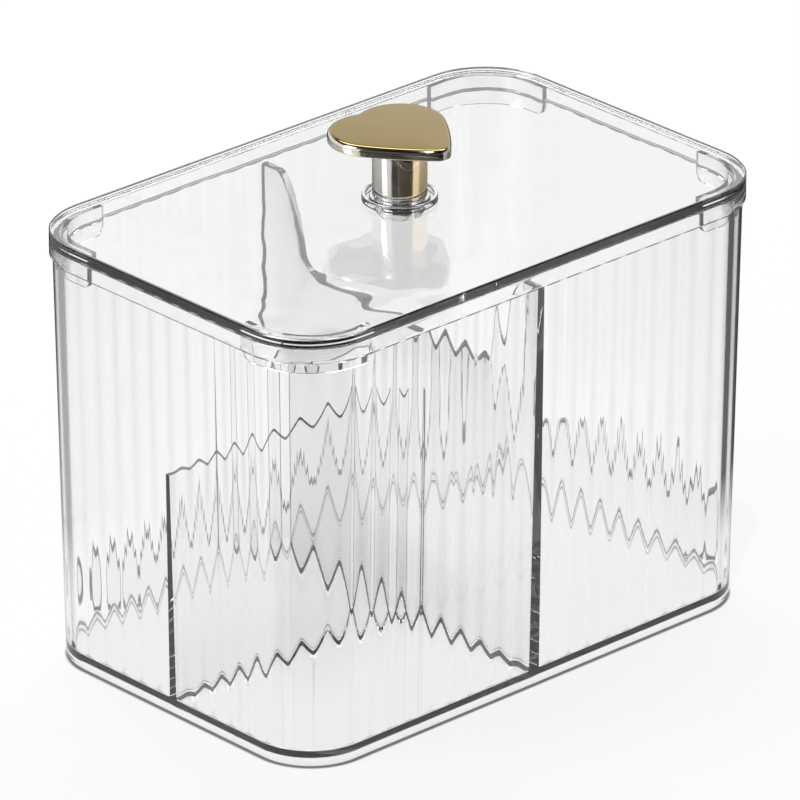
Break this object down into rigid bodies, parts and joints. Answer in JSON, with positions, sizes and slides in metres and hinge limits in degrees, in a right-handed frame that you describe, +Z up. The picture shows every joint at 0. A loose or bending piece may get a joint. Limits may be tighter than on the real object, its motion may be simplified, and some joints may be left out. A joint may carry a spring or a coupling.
{
  "type": "lidded organizer box",
  "caption": "Clear lidded organizer box with fluted walls, moulded dividers and a gold heart-shaped lid knob.",
  "frame": {"origin": "middle of the underside, on the surface the box stands on", "axes": "+X along the long side towards the undivided half, +Y to the back, +Z up towards the knob; the heart's tip points to -Y, the front"},
  "size_m": [0.17, 0.1112, 0.1425],
  "materials": {
    "box_plastic": "clear, polished",
    "lid_plastic": "clear, polished",
    "head_plating": "mirror-polished gold plating on plastic",
    "stem_plating": "mirror-polished gold plating on plastic"
  },
  "bodies": {
    "box": {"box_body": "box_plastic"},
    "lid": {"lid": "lid_plastic"},
    "knob": {"knob_head": "head_plating", "knob_stem": "stem_plating"}
  },
  "joints": [
    {"name": "lid_lift", "type": "slide", "parent": "box", "child": "lid", "axis": [0, 0, 1], "range_m": [0, 0.14]},
    {"name": "knob_turn", "type": "hinge", "parent": "lid", "child": "knob", "pos_m": [0, 0, 0.123], "axis": [0, 0, 1], "continuous": true}
  ]
}
